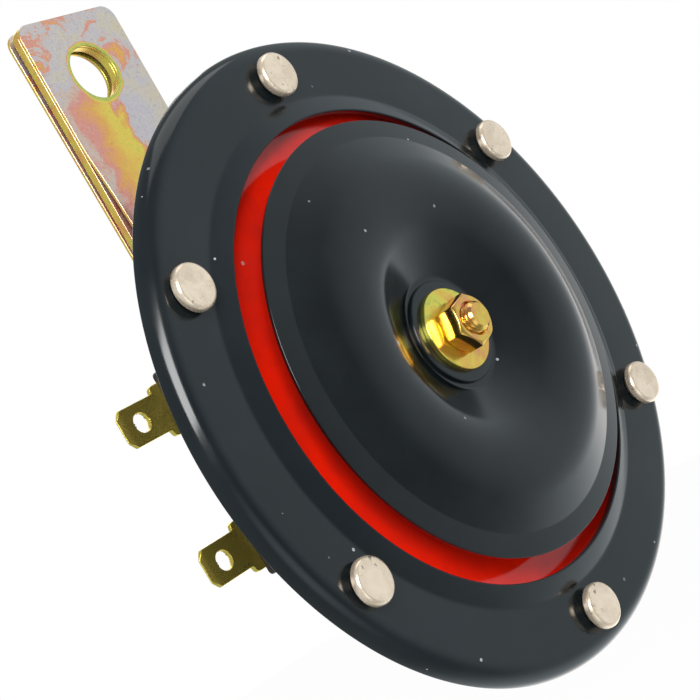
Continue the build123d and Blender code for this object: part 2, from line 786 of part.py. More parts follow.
pieces = {
    "clamp_ring": clamp_ring(),
    "seam_rivets": seam_rivets(),
    "front_gasket": seam_sheet(lip_foot_radius + gasket_setback, 0, front_gasket_rear),
    "diaphragm": seam_sheet(stud_bore, front_gasket_rear, diaphragm_rear),
    "rear_gasket": seam_sheet(rear_gasket_bore, diaphragm_rear, flange_front),
    "rear_housing": rear_housing(),
    "pole_core": pole_core(),
    "coil_bobbin": coil_bobbin(),
    "coil_winding": coil_winding(),
    "yoke_plate": yoke_plate(),
    "breaker_base_insulator": breaker_block(moving_arm_rear, yoke_front),
    "breaker_moving_arm": breaker_moving_arm(),
    "breaker_middle_insulator": breaker_block(fixed_arm_rear, moving_arm_front),
    "breaker_fixed_arm": breaker_fixed_arm(),
    "breaker_top_insulator": breaker_block(top_insulator_front, fixed_arm_front),
    "breaker_clamp_plate": breaker_block(clamp_plate_front, top_insulator_front),
    "breaker_screws": breaker_screws(),
    "moving_contact": breaker_contact(moving_arm_front - contact_height, moving_arm_front, moving_arm_rear),
    "fixed_contact": breaker_contact(fixed_arm_rear + contact_height, fixed_arm_rear, fixed_arm_front),
    "adjusting_screw": adjusting_screw(),
    "adjusting_nut": adjusting_nut(),
    "terminal_insulator": terminal_insulator(),
    "inner_terminal_insulator": inner_insulator(),
    "coil_terminal": terminal(terminal_spacing / 2),
    "breaker_terminal": terminal(-terminal_spacing / 2),
    "terminal_rivets": terminal_rivets(),
    "bracket_spacer": ring_solid(bracket_bore, bracket_spacer_radius, cup_floor_outside, spacer_rear),
    "bracket_front_leaf": bracket_front_leaf(),
    "bracket_middle_leaf": bracket_middle_leaf(),
    "bracket_rear_leaf": bracket_rear_leaf(),
    "bracket_lock_washer": lock_washer(),
    "bracket_nut": bracket_nut(),
    "armature": armature(),
    "armature_stud": armature_stud(),
    "rear_support_washer": ring_solid(stud_bore, support_washer_radius, diaphragm_rear, armature_front),
    "front_support_washer": ring_solid(
        stud_bore, support_washer_radius, front_support_front, front_gasket_rear
    ),
    "tone_disc_sleeve": ring_solid(stud_bore, sleeve_radius, disc_seat_rear, front_support_front),
    "tone_disc": tone_disc(),
    "tone_disc_black_washer": ring_solid(stud_bore, black_washer_radius, black_washer_front, disc_seat_front),
    "tone_disc_zinc_washer": ring_solid(stud_bore, zinc_washer_radius, zinc_washer_front, black_washer_front),
    "tone_disc_nut": stud_nut(),
}

os.makedirs("parts", exist_ok=True)
for name, piece in pieces.items():
    export_step(place(piece), f"parts/{name}.step")
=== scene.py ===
"""Looks of a car's disc horn: painted pressings, a riveted seam, zinc-plated hardware and brass terminals.

Lengths are in metres. The horn's axis runs along Y and its front faces -Y; +Z runs up along the bracket.
"""

from math import atan2, cos, pi, radians, sin, sqrt, tan

import bmesh
import bpy
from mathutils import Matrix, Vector
from mathutils.geometry import delaunay_2d_cdt


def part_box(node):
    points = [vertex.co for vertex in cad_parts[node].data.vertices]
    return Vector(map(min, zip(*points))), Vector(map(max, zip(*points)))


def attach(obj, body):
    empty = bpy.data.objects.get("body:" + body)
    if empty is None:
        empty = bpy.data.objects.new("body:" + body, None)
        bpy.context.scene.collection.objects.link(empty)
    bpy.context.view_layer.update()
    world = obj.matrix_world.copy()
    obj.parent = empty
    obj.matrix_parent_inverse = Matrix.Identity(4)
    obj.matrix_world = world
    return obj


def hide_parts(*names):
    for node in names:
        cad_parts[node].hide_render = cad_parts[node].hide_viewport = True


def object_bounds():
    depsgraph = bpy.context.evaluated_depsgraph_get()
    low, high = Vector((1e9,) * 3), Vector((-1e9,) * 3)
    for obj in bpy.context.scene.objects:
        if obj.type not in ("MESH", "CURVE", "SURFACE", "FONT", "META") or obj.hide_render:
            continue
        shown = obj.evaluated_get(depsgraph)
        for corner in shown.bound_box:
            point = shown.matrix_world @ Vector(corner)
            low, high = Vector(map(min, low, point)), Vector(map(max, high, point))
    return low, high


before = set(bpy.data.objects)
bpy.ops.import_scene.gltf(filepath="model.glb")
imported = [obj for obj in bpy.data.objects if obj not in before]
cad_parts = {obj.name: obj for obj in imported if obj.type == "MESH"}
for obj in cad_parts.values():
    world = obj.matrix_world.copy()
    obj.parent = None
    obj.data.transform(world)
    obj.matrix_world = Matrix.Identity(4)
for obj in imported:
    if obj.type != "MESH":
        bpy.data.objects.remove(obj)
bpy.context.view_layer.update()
mm = 0.001
horn = "horn_body"
voice = "tone_disc_assembly"

# ---------------------------------------------------------------- Clamp ring
# The ring is one deep-drawn pressing of thin steel: a flat band, an outer edge rolled back round the seam
# and an inner lip that leans forward round the opening. It is stove-enamelled a gloss blue-black.

ring_low, ring_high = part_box("clamp_ring")
ring_front, ring_rear = ring_low.y, ring_high.y
ring_radius = (ring_high.x - ring_low.x) / 2
axis_height = (ring_high.z + ring_low.z) / 2
ring_sheet = 1.2 * mm
ring_roll = 3.2 * mm
band_width = 11.4 * mm
lip_width = 3.6 * mm
lip_height = 1.8 * mm
lip_bend = 1.6 * mm
sheared_edge = 0.25 * mm
turned_steps = 288
least_bend = 0.01
weld_distance = 0.2e-6
crease_angle = radians(32)


def rounded(corners, steps=8):
    """Points of a closed outline of (a, b, rounding) corners, with each rounding as an arc."""
    points = []
    count = len(corners)
    for number, corner in enumerate(corners):
        here = Vector(corner[:2])
        rounding = corner[2] if len(corner) > 2 else 0
        before = (Vector(corners[number - 1][:2]) - here).normalized()
        after = (Vector(corners[(number + 1) % count][:2]) - here).normalized()
        half_angle = before.angle(after) / 2
        if rounding == 0 or half_angle > pi / 2 - least_bend:
            points.append(here)
            continue
        centre = here + (before + after).normalized() * rounding / sin(half_angle)
        start = here + before * rounding / tan(half_angle) - centre
        sweep = start.angle_signed(here + after * rounding / tan(half_angle) - centre)
        for step in range(steps + 1):
            turn = -sweep * step / steps
            points.append(
                centre
                + Vector((
                    start.x * cos(turn) - start.y * sin(turn),
                    start.x * sin(turn) + start.y * cos(turn),
                ))
            )
    return points


def new_piece(name, mesh_data, material, body, slot, *nodes):
    """Finish a mesh as a piece: smooth by angle, dressed, and riding in its CAD node's place."""
    bmesh.ops.remove_doubles(mesh_data, verts=mesh_data.verts, dist=weld_distance)
    bmesh.ops.recalc_face_normals(mesh_data, faces=mesh_data.faces)
    mesh = bpy.data.meshes.new(name)
    mesh_data.to_mesh(mesh)
    mesh_data.free()
    mesh.materials.append(material)
    mesh.shade_smooth()
    mesh.set_sharp_from_angle(angle=crease_angle)
    piece = bpy.data.objects.new(name, mesh)
    bpy.context.scene.collection.objects.link(piece)
    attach(piece, body)
    if nodes:
        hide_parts(*nodes)
    return piece


def turn_into(mesh_data, outline, centre=(0.0, axis_height), steps=turned_steps):
    """Turn an outline of (radius, y) points about an axis along Y into a mesh."""
    centre_x, centre_z = centre
    rings = []
    for radius, y in outline:
        if radius < weld_distance:
            rings.append([mesh_data.verts.new((centre_x, y, centre_z))] * steps)
            continue
        rings.append([
            mesh_data.verts.new((
                centre_x + radius * sin(2 * pi * step / steps),
                y,
                centre_z + radius * cos(2 * pi * step / steps),
            ))
            for step in range(steps)
        ])
    for number, ring in enumerate(rings):
        following = rings[(number + 1) % len(rings)]
        for step in range(steps):
            after = (step + 1) % steps
            corners = list(dict.fromkeys([ring[step], ring[after], following[after], following[step]]))
            if len(corners) > 2:
                mesh_data.faces.new(corners)


def turned(name, corners, material, body, slot, *nodes, steps=turned_steps, rounding_steps=8):
    """A turned piece on the horn's axis."""
    mesh_data = bmesh.new()
    turn_into(mesh_data, rounded(corners, rounding_steps), steps=steps)
    return new_piece(name, mesh_data, material, body, slot, *nodes)


def add_node(tree, kind, values=None, **settings):
    """Add a shader node; values name its inputs and hold numbers, colours or the sockets that feed them."""
    made = tree.nodes.new(kind)
    for setting, value in settings.items():
        setattr(made, setting, value)
    for socket, value in (values or {}).items():
        if isinstance(value, bpy.types.NodeSocket):
            tree.links.new(value, made.inputs[socket])
        else:
            made.inputs[socket].default_value = value
    return made


def connect(tree, node, sources):
    """Feed a node's named inputs from other nodes' sockets."""
    for socket, source in sources.items():
        tree.links.new(source, node.inputs[socket])


def math_node(tree, operation, first, second=0.0, third=0.0):
    """The result socket of a Math node."""
    return add_node(tree, "ShaderNodeMath", {0: first, 1: second, 2: third}, operation=operation).outputs[0]


def mix_colour(tree, factor, first, second):
    """The result socket of a colour Mix node."""
    return add_node(tree, "ShaderNodeMix", {0: factor, 6: first, 7: second}, data_type="RGBA").outputs[2]


def colour_ramp(tree, factor, stops):
    """The colour socket of a ramp with (place, colour) stops."""
    made = add_node(tree, "ShaderNodeValToRGB", {"Fac": factor})
    ramp = made.color_ramp
    while len(ramp.elements) < len(stops):
        ramp.elements.new(0.5)
    for element, (place, colour) in zip(ramp.elements, stops):
        element.position = place
        element.color = (*colour, 1.0)
    return made.outputs["Color"]


def scaled_range(tree, value, from_low, from_high, to_low=0.0, to_high=1.0):
    """A value carried from one range to another and held inside it."""
    made = add_node(tree, "ShaderNodeMapRange", {
        "Value": value, "From Min": from_low, "From Max": from_high, "To Min": to_low, "To Max": to_high,
    })
    return made.outputs["Result"]


def object_place(tree):
    """The socket that gives a point's place on the horn."""
    return add_node(tree, "ShaderNodeTexCoord").outputs["Object"]


def noise(tree, place, scale, detail=3.0, roughness=0.5, distortion=0.0):
    """The value socket of a noise at a place."""
    made = add_node(tree, "ShaderNodeTexNoise", {
        "Vector": place, "Scale": scale, "Detail": detail,
        "Roughness": roughness, "Distortion": distortion,
    })
    return made.outputs["Fac"]


def new_group(name, inputs, outputs):
    """An empty shader group with named sockets; returns its tree, its input node and its output node."""
    tree = bpy.data.node_groups.new(name, "ShaderNodeTree")
    for label, kind, value in inputs:
        socket = tree.interface.new_socket(label, in_out="INPUT", socket_type=kind)
        socket.default_value = value
    for label, kind in outputs:
        tree.interface.new_socket(label, in_out="OUTPUT", socket_type=kind)
    return tree, tree.nodes.new("NodeGroupInput"), tree.nodes.new("NodeGroupOutput")


def new_material(name, **constants):
    """A material with its Principled BSDF; the constants are set on the shader's own sockets."""
    material = bpy.data.materials.new(name)
    material.use_nodes = True
    tree = material.node_tree
    shader = tree.nodes["Principled BSDF"]
    for socket, value in constants.items():
        shader.inputs[socket.replace("_", " ")].default_value = value
    return material, tree, shader


def use_group(tree, group, values):
    """Place a shader group in a material, under the group's own name."""
    made = tree.nodes.new("ShaderNodeGroup")
    made.name = group.name
    made.node_tree = group
    for socket, value in values.items():
        made.inputs[socket].default_value = value
    return made


def bump(tree, shader, height, strength, distance):
    """Drive the shader's normal by a height."""
    made = add_node(tree, "ShaderNodeBump", {"Height": height, "Strength": strength, "Distance": distance})
    connect(tree, shader, {"Normal": made.outputs["Normal"]})


def lay_film(tree, shader, film, strength, depth):
    """Dress a shader with a finish group's colour, roughness and height."""
    connect(tree, shader, {"Base Color": film.outputs["Color"], "Roughness": film.outputs["Roughness"]})
    bump(tree, shader, film.outputs["Height"], strength, depth)


# Stove enamel: a little orange peel, haze from handling, and small pale specks of dust under the film.
enamel_group, group_in, group_out = new_group(
    "stove_enamel",
    [
        ("Paint", "NodeSocketColor", (0.01, 0.01, 0.01, 1.0)),
        ("Speck", "NodeSocketColor", (0.5, 0.5, 0.5, 1.0)),
        ("Speck Share", "NodeSocketFloat", 0.1),
        ("Gloss", "NodeSocketFloat", 0.1),
    ],
    [("Color", "NodeSocketColor"), ("Roughness", "NodeSocketFloat"), ("Height", "NodeSocketFloat")],
)
where = object_place(enamel_group)
haze = noise(enamel_group, where, 45.0, 4.0, 0.6)
fine_haze = noise(enamel_group, where, 420.0, 3.0, 0.6)
cells = add_node(enamel_group, "ShaderNodeTexVoronoi", {"Vector": where, "Scale": 210.0, "Randomness": 1.0})
chance = add_node(enamel_group, "ShaderNodeSeparateColor", {"Color": cells.outputs["Color"]})
chosen = math_node(enamel_group, "LESS_THAN", chance.outputs["Red"], group_in.outputs["Speck Share"])
dot_size = scaled_range(enamel_group, chance.outputs["Green"], 0.0, 1.0, 0.03, 0.08)
dot = math_node(enamel_group, "LESS_THAN", cells.outputs["Distance"], dot_size)
speck = math_node(enamel_group, "MULTIPLY", chosen, dot)
speck_strength = scaled_range(enamel_group, chance.outputs["Blue"], 0.0, 1.0, 0.25, 1.0)
speck_tone = math_node(enamel_group, "MULTIPLY", speck, speck_strength)
clouding = scaled_range(enamel_group, haze, 0.35, 0.75, 0.0, 0.5)
clouded = mix_colour(enamel_group, clouding, group_in.outputs["Paint"], (0.012, 0.0165, 0.019, 1.0))
unevenness = scaled_range(enamel_group, haze, 0.3, 0.8, 0.75, 1.5)
uneven_gloss = math_node(enamel_group, "MULTIPLY", unevenness, group_in.outputs["Gloss"])
handled_gloss = math_node(enamel_group, "MULTIPLY_ADD", fine_haze, 0.03, uneven_gloss)
peel = noise(enamel_group, where, 330.0, 2.0, 0.4)
connect(enamel_group, group_out, {
    "Color": mix_colour(enamel_group, speck_tone, clouded, group_in.outputs["Speck"]),
    "Roughness": math_node(enamel_group, "MULTIPLY_ADD", speck, 0.4, handled_gloss),
    "Height": math_node(enamel_group, "MULTIPLY_ADD", speck, 0.8, peel),
})


def enamel(name, paint, speck_share, gloss, peel_depth):
    """A painted finish built on the stove enamel group."""
    material, tree, shader = new_material(name)
    film = use_group(tree, enamel_group, {
        "Paint": (*paint, 1.0), "Speck": (0.42, 0.44, 0.44, 1.0),
        "Speck Share": speck_share, "Gloss": gloss,
    })
    lay_film(tree, shader, film, 0.35, peel_depth)
    return material


ring_enamel = enamel("ring_enamel", (0.0035, 0.0065, 0.008), 0.7, 0.15, 0.012 * mm)

lip_slope = atan2(lip_height, lip_width)
band_front = ring_front + lip_height
lip_foot = ring_radius - band_width
opening_radius = lip_foot - lip_width
turned(
    "enamelled_clamp_ring",
    [
        (ring_radius, ring_rear, sheared_edge),
        (ring_radius, band_front, ring_roll),
        (lip_foot, band_front, lip_bend),
        (opening_radius, ring_front, sheared_edge),
        (opening_radius, ring_front + ring_sheet / cos(lip_slope), sheared_edge),
        (lip_foot - ring_sheet * tan(lip_slope / 2), band_front + ring_sheet, lip_bend + ring_sheet),
        (ring_radius - ring_sheet, band_front + ring_sheet, ring_roll - ring_sheet),
        (ring_radius - ring_sheet, ring_rear, sheared_edge),
    ],
    ring_enamel, horn, "black_paint", "clamp_ring",
)

# ---------------------------------------------------------------- Seam rivets
# Six soft steel rivets, dull-nickel plated. The setting tool pressed the round heads nearly flat, so their
# faces are faintly dished and mottled and their rims are rolled over. The formed tails sit behind.

rivet_count = 6
rivet_circle = 49.5 * mm
rivet_first_angle = radians(2.1)
rivet_head_radius = 3.85 * mm
rivet_head_height = 1.4 * mm
rivet_taper_height = 0.95 * mm
rivet_foot_radius = 2.9 * mm
rivet_shank_radius = 2.0 * mm
rivet_tail_radius = 3.0 * mm
rivet_tail_height = 1.2 * mm
rivet_rim = 0.8 * mm
rivet_dish = 0.1 * mm
rivet_dish_floor = 0.45 * rivet_head_radius
rivet_dish_edge = 0.72 * rivet_head_radius
rivet_floor_round = 4 * mm
rivet_edge_round = 0.6 * mm
rivet_seat_round = 0.15 * mm
rivet_tail_round = 0.6 * mm
rivet_steps = 72
rivet_front, rivet_rear = (corner.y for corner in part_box("seam_rivets"))

plate_group, group_in, group_out = new_group(
    "mottled_plating",
    [
        ("Light", "NodeSocketColor", (0.8, 0.8, 0.8, 1.0)),
        ("Dark", "NodeSocketColor", (0.5, 0.5, 0.5, 1.0)),
        ("Patch Scale", "NodeSocketFloat", 300.0),
        ("Gloss", "NodeSocketFloat", 0.25),
        ("Pitting", "NodeSocketFloat", 0.2),
    ],
    [("Color", "NodeSocketColor"), ("Roughness", "NodeSocketFloat"), ("Height", "NodeSocketFloat")],
)
where = object_place(plate_group)
patches = noise(plate_group, where, group_in.outputs["Patch Scale"], 4.0, 0.6, 0.6)
grain = noise(plate_group, where, 2600.0, 2.0, 0.6)
lowered = math_node(plate_group, "SUBTRACT", patches, 0.12)
tone = math_node(plate_group, "MULTIPLY_ADD", grain, 0.25, lowered)
dark_share = scaled_range(plate_group, tone, 0.38, 0.72)
mottled = mix_colour(plate_group, dark_share, group_in.outputs["Light"], group_in.outputs["Dark"])
pit_noise = noise(plate_group, where, 1100.0, 2.0, 0.5)
pits = scaled_range(plate_group, pit_noise, 0.665, 0.73, 0.0, group_in.outputs["Pitting"])
unevenness = scaled_range(plate_group, tone, 0.3, 0.7, 0.8, 1.5)
connect(plate_group, group_out, {
    "Color": mix_colour(plate_group, pits, mottled, (0.16, 0.12, 0.09, 1.0)),
    "Roughness": math_node(plate_group, "MULTIPLY", unevenness, group_in.outputs["Gloss"]),
    "Height": math_node(plate_group, "MULTIPLY_ADD", grain, 0.25, patches),
})


def plating(name, light, dark, patch_scale, gloss, dent_depth, metal_share=1.0, pitting=0.15):
    """A plated metal finish built on the mottled plating group."""
    material, tree, shader = new_material(name, Metallic=metal_share)
    film = use_group(tree, plate_group, {
        "Light": (*light, 1.0), "Dark": (*dark, 1.0), "Patch Scale": patch_scale, "Gloss": gloss,
        "Pitting": pitting,
    })
    lay_film(tree, shader, film, 0.5, dent_depth)
    return material


nickel = plating(
    "rivet_nickel", (1.0, 0.83, 0.64), (0.80, 0.65, 0.49), 330.0, 0.22, 0.05 * mm,
    metal_share=0.72, pitting=0.75,
)
head_rear = rivet_front + rivet_head_height
seat_front = head_rear + rivet_taper_height
flange_rear = rivet_rear - rivet_tail_height
rivet_corners = [
    (0, rivet_front + rivet_dish),
    (rivet_dish_floor, rivet_front + rivet_dish * 0.75, rivet_floor_round),
    (rivet_dish_edge, rivet_front, rivet_edge_round),
    (rivet_head_radius, rivet_front, rivet_rim),
    (rivet_head_radius, head_rear, rivet_seat_round),
    (rivet_foot_radius, seat_front),
    (rivet_shank_radius, seat_front),
    (rivet_shank_radius, flange_rear),
    (rivet_tail_radius, flange_rear),
    (rivet_tail_radius, rivet_rear, rivet_tail_round),
    (0, rivet_rear),
]
rivets = bmesh.new()
for number in range(rivet_count):
    angle = rivet_first_angle + 2 * pi * number / rivet_count
    spot = (-rivet_circle * sin(angle), axis_height + rivet_circle * cos(angle))
    turn_into(rivets, rounded(rivet_corners), spot, rivet_steps)
new_piece("set_seam_rivets", rivets, nickel, horn, "plated_steel", "seam_rivets")

# ---------------------------------------------------------------- Diaphragm and gaskets
# A disc of spring steel between two paper gaskets in the seam. Its front is sprayed signal red, and the red
# shows as a ring between the clamp ring's opening and the tone disc.

red_lacquer = enamel("red_lacquer", (0.99, 0.014, 0.0008), 0.02, 0.07, 0.01 * mm)
gasket_paper, tree, shader = new_material("gasket_paper")
fibres = noise(tree, object_place(tree), 900.0, 5.0, 0.7)
connect(tree, shader, {
    "Base Color": colour_ramp(tree, fibres, [(0.3, (0.05, 0.035, 0.025)), (0.7, (0.16, 0.12, 0.09))]),
    "Roughness": scaled_range(tree, fibres, 0.2, 0.8, 0.7, 0.95),
})
bump(tree, shader, fibres, 0.4, 0.05 * mm)


def dress(material, *names):
    """Give CAD nodes that keep their own shape a finish."""
    for name in names:
        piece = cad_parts[name]
        piece.data.materials.clear()
        piece.data.materials.append(material)


dress(red_lacquer, "diaphragm")
dress(gasket_paper, "front_gasket", "rear_gasket")

# ---------------------------------------------------------------- Rear housing
# One deep-drawn steel shell, drum and coil cup together, dipped in blue-black enamel like the ring's but
# left without a second coat, so it is a little paler and duller and its orange peel is coarser.

housing_enamel = enamel("housing_enamel", (0.009, 0.011, 0.012), 0.14, 0.20, 0.03 * mm)
dress(housing_enamel, "rear_housing")

# ---------------------------------------------------------------- Zinc-plated steel
# Bracket leaves, washers, nuts and studs are zinc plated and dipped in yellow chromate. The film is not
# equally thick all over, so it runs from pale grey through lilac, pink and orange to gold and olive.

chromate_stops = [
    (0.00, (0.78, 0.66, 0.46)),
    (0.12, (0.78, 0.68, 0.56)),
    (0.22, (0.70, 0.64, 0.68)),
    (0.32, (0.80, 0.62, 0.50)),
    (0.42, (0.90, 0.38, 0.32)),
    (0.54, (0.97, 0.50, 0.14)),
    (0.66, (0.98, 0.70, 0.13)),
    (0.78, (0.86, 0.80, 0.14)),
    (0.92, (0.50, 0.58, 0.16)),
]
chromate_group, group_in, group_out = new_group(
    "yellow_chromate",
    [
        ("Film", "NodeSocketFloat", 0.5),
        ("Spread", "NodeSocketFloat", 0.5),
        ("Patch Scale", "NodeSocketFloat", 90.0),
        ("Gloss", "NodeSocketFloat", 0.25),
    ],
    [("Color", "NodeSocketColor"), ("Roughness", "NodeSocketFloat"), ("Height", "NodeSocketFloat")],
)
where = object_place(chromate_group)
broad = noise(chromate_group, where, group_in.outputs["Patch Scale"], 5.0, 0.55, 0.9)
from_mean = math_node(chromate_group, "SUBTRACT", broad, 0.5)
clouded = math_node(
    chromate_group, "MULTIPLY_ADD", from_mean, group_in.outputs["Spread"], group_in.outputs["Film"]
)
grain = noise(chromate_group, where, 1500.0, 3.0, 0.65)
grain_from_mean = math_node(chromate_group, "SUBTRACT", grain, 0.5)
thickness = math_node(chromate_group, "MULTIPLY_ADD", grain_from_mean, 0.14, clouded)
tint = colour_ramp(chromate_group, thickness, chromate_stops)
dulling = scaled_range(chromate_group, grain, 0.52, 0.75, 0.0, 0.35)
unevenness = scaled_range(chromate_group, grain, 0.25, 0.75, 0.8, 1.35)
connect(chromate_group, group_out, {
    "Color": mix_colour(chromate_group, dulling, tint, (0.32, 0.26, 0.14, 1.0)),
    "Roughness": math_node(chromate_group, "MULTIPLY", unevenness, group_in.outputs["Gloss"]),
    "Height": grain,
})


def chromate(name, mean_film, spread, patch_scale, gloss, depth, metal_share):
    """A yellow zinc finish with its own mean film thickness."""
    material, tree, shader = new_material(name, Metallic=metal_share)
    film = use_group(tree, chromate_group, {
        "Film": mean_film, "Spread": spread, "Patch Scale": patch_scale, "Gloss": gloss,
    })
    lay_film(tree, shader, film, 0.3, depth)
    return material


zinc = chromate("zinc_hardware", 0.70, 1.1, 150.0, 0.20, 0.012 * mm, 0.95)
dress(
    zinc, "pole_core", "yoke_plate", "breaker_clamp_plate", "adjusting_screw", "adjusting_nut",
    "bracket_spacer", "bracket_lock_washer", "bracket_nut", "tone_disc_sleeve",
)

# ---------------------------------------------------------------- Bracket leaves
# Three blanked strips lie on each other on the stud: two thin spring leaves and a thick one between them.
# The blanks are sheared, so their edges are a little rounded on the punch side and bright.

leaf_low, leaf_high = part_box("bracket_middle_leaf")
leaf_tip = leaf_high.z
leaf_half_width = leaf_high.x
leaf_corner = 2.6 * mm
mount_hole_radius = 5.0 * mm
stud_hole_radius = 4.2 * mm
punched_edge = 0.14 * mm
leaf_fill_step = 1.6 * mm
front_leaf_bow = 1.4 * mm
bow_start = axis_height + 12 * mm
bow_end = axis_height + 57 * mm
rear_leaf_gap = 1.05 * mm


def arc_points(centre, radius, start, end, steps):
    """Points on an arc, with both ends."""
    return [
        Vector((
            centre[0] + radius * cos(start + (end - start) * step / steps),
            centre[1] + radius * sin(start + (end - start) * step / steps),
        ))
        for step in range(steps + 1)
    ]


def divided(points, longest):
    """Points of a closed outline, with its long runs divided."""
    result = []
    for number, point in enumerate(points):
        after = points[(number + 1) % len(points)]
        parts = max(1, round((after - point).length / longest))
        result += [point.lerp(after, part / parts) for part in range(parts)]
    return result


def moved_in(points, distance, least_lean=0.4):
    """A closed outline moved to its left-hand side by a distance; least_lean holds sharp corners back."""
    moved = []
    count = len(points)
    for number, point in enumerate(points):
        before = (point - points[number - 1]).normalized()
        after = (points[(number + 1) % count] - point).normalized()
        left = Vector((-before.y, before.x)) + Vector((-after.y, after.x))
        left.normalize()
        lean = max(least_lean, left.dot(Vector((-after.y, after.x))))
        moved.append(point + left * distance / lean)
    return moved


def sheet_piece(mesh_data, loops, front, rear, rounding, fill_step, arc_steps=3, edge_clearance=0.4):
    """A sheet with rounded edges between two faces; front and rear give y for an (x, z) point.
    The first loop is the outer one. Each loop keeps the metal on its left-hand side."""
    face_points, edges, inner_loops = [], [], []
    for loop in loops:
        inner = moved_in(loop, rounding)
        first = len(face_points)
        face_points += inner
        edges += [(first + number, first + (number + 1) % len(inner)) for number in range(len(inner))]
        inner_loops.append((first, len(inner)))
    low = Vector((min(p.x for p in loops[0]), min(p.y for p in loops[0])))
    high = Vector((max(p.x for p in loops[0]), max(p.y for p in loops[0])))
    columns, rows = (max(1, int((high[side] - low[side]) / fill_step)) for side in (0, 1))
    for row in range(1, rows):
        for column in range(1, columns):
            spot = low + Vector(((high.x - low.x) * column / columns, (high.y - low.y) * row / rows))
            clear = all(nearest_distance(spot, loop) > fill_step * edge_clearance for loop in loops)
            if clear and inside(spot, loops[0]):
                face_points.append(spot)
    flat, _, triangles, _, _, _ = delaunay_2d_cdt(face_points, edges, [], 1, 1e-7, False)
    middles = [sum((flat[corner] for corner in corners), Vector((0, 0))) / 3 for corners in triangles]
    triangles = [
        corners for corners, middle in zip(triangles, middles)
        if inside(middle, loops[0]) and not any(inside(middle, hole) for hole in loops[1:])
    ]
    for depth in (front, rear):
        verts = [mesh_data.verts.new((p.x, depth(p.x, p.y), p.y)) for p in flat]
        for corners in triangles:
            mesh_data.faces.new([verts[c] for c in corners])
    for loop in loops:
        edge_rows = []
        for side, depth, inward in (("front", front, 1), ("rear", rear, -1)):
            arc = []
            for step in range(arc_steps + 1):
                turn = pi / 2 * step / arc_steps
                shifted = moved_in(loop, rounding * (1 - sin(turn)))
                lift = inward * rounding * (1 - cos(turn))
                arc.append([mesh_data.verts.new((p.x, depth(p.x, p.y) + lift, p.y)) for p in shifted])
            edge_rows += arc if side == "front" else arc[::-1]
        for above, below in zip(edge_rows, edge_rows[1:]):
            for number in range(len(loop)):
                after = (number + 1) % len(loop)
                mesh_data.faces.new([above[number], above[after], below[after], below[number]])


def nearest_distance(spot, loop):
    """How far a point lies from an outline's nearest point."""
    return min((spot - point).length for point in loop)


def inside(spot, loop):
    """Whether a point lies inside a closed outline."""
    crossings = False
    for number, point in enumerate(loop):
        other = loop[number - 1]
        if (point.y > spot.y) != (other.y > spot.y):
            if spot.x < (other.x - point.x) * (spot.y - point.y) / (other.y - point.y) + point.x:
                crossings = not crossings
    return crossings


leaf_outer = divided(
    arc_points((leaf_half_width - leaf_corner, leaf_tip - leaf_corner), leaf_corner, 0, pi / 2, 8)
    + arc_points((-leaf_half_width + leaf_corner, leaf_tip - leaf_corner), leaf_corner, pi / 2, pi, 8)
    + arc_points((0, axis_height), leaf_half_width, pi, 2 * pi, 40),
    2 * mm,
)
leaf_loops = [
    leaf_outer,
    arc_points((0, 0), mount_hole_radius, 2 * pi, 0, 80)[:-1],
    arc_points((0, axis_height), stud_hole_radius, 2 * pi, 0, 48)[:-1],
]


def bowed(z):
    """How far the front leaf stands off the middle one at a height."""
    if z < bow_start or z > bow_end:
        return 0.0
    chord = bow_end - bow_start
    radius = (chord**2 / 4 + front_leaf_bow**2) / (2 * front_leaf_bow)
    return sqrt(radius**2 - (z - (bow_start + bow_end) / 2) ** 2) - (radius - front_leaf_bow)


def flared(z):
    """How far the rear leaf stands off the middle one at a height."""
    return max(0.0, (z - bow_start) / (leaf_tip - bow_start)) * rear_leaf_gap


def film_ramp(tree, factor, stops):
    """Film thickness along a ramp with (place, thickness) stops."""
    return colour_ramp(tree, factor, [(place, (thickness,) * 3) for place, thickness in stops])


# Chromate drained down the leaf faces. It is pink, orange and gold along one edge, and pale on the rest
# with a few orange clouds near the top. It is olive round the hole, where it is thickest, and gold on the
# sheared edges.
leaf_zinc = chromate("zinc_leaves", 0.3, 0.25, 220.0, 0.24, 0.01 * mm, 0.8)
tree = leaf_zinc.node_tree
coordinates = add_node(tree, "ShaderNodeTexCoord")
where = coordinates.outputs["Object"]
place = add_node(tree, "ShaderNodeSeparateXYZ", {"Vector": where})
wander = math_node(tree, "SUBTRACT", noise(tree, where, 130.0, 5.0, 0.6, 0.8), 0.5)
across = math_node(tree, "MULTIPLY_ADD", wander, 9.0 * mm, place.outputs["X"])
drained = film_ramp(tree, scaled_range(tree, across, -leaf_half_width, leaf_half_width), [
    (0.02, 0.34), (0.10, 0.43), (0.22, 0.54), (0.38, 0.66),
    (0.48, 0.74), (0.58, 0.24), (0.80, 0.17), (1.00, 0.08),
])
clouds = film_ramp(tree, noise(tree, where, 190.0, 6.0, 0.65, 1.2), [
    (0.38, 0.08), (0.50, 0.20), (0.58, 0.42), (0.70, 0.58),
])
along = math_node(tree, "MULTIPLY_ADD", wander, 6.0 * mm, place.outputs["Z"])
face_film = mix_colour(tree, scaled_range(tree, along, -6.0 * mm, 1.0 * mm), drained, clouds)
flat_place = add_node(tree, "ShaderNodeCombineXYZ", {"X": place.outputs["X"], "Z": place.outputs["Z"]})
from_hole = add_node(tree, "ShaderNodeVectorMath", {0: flat_place.outputs[0]}, operation="LENGTH")
ragged = math_node(tree, "MULTIPLY_ADD", noise(tree, where, 400.0), 0.9 * mm, from_hole.outputs["Value"])
round_hole = scaled_range(tree, ragged, 6.5 * mm, 6.0 * mm)
rimmed_film = mix_colour(tree, round_hole, face_film, (0.88, 0.88, 0.88, 1.0))
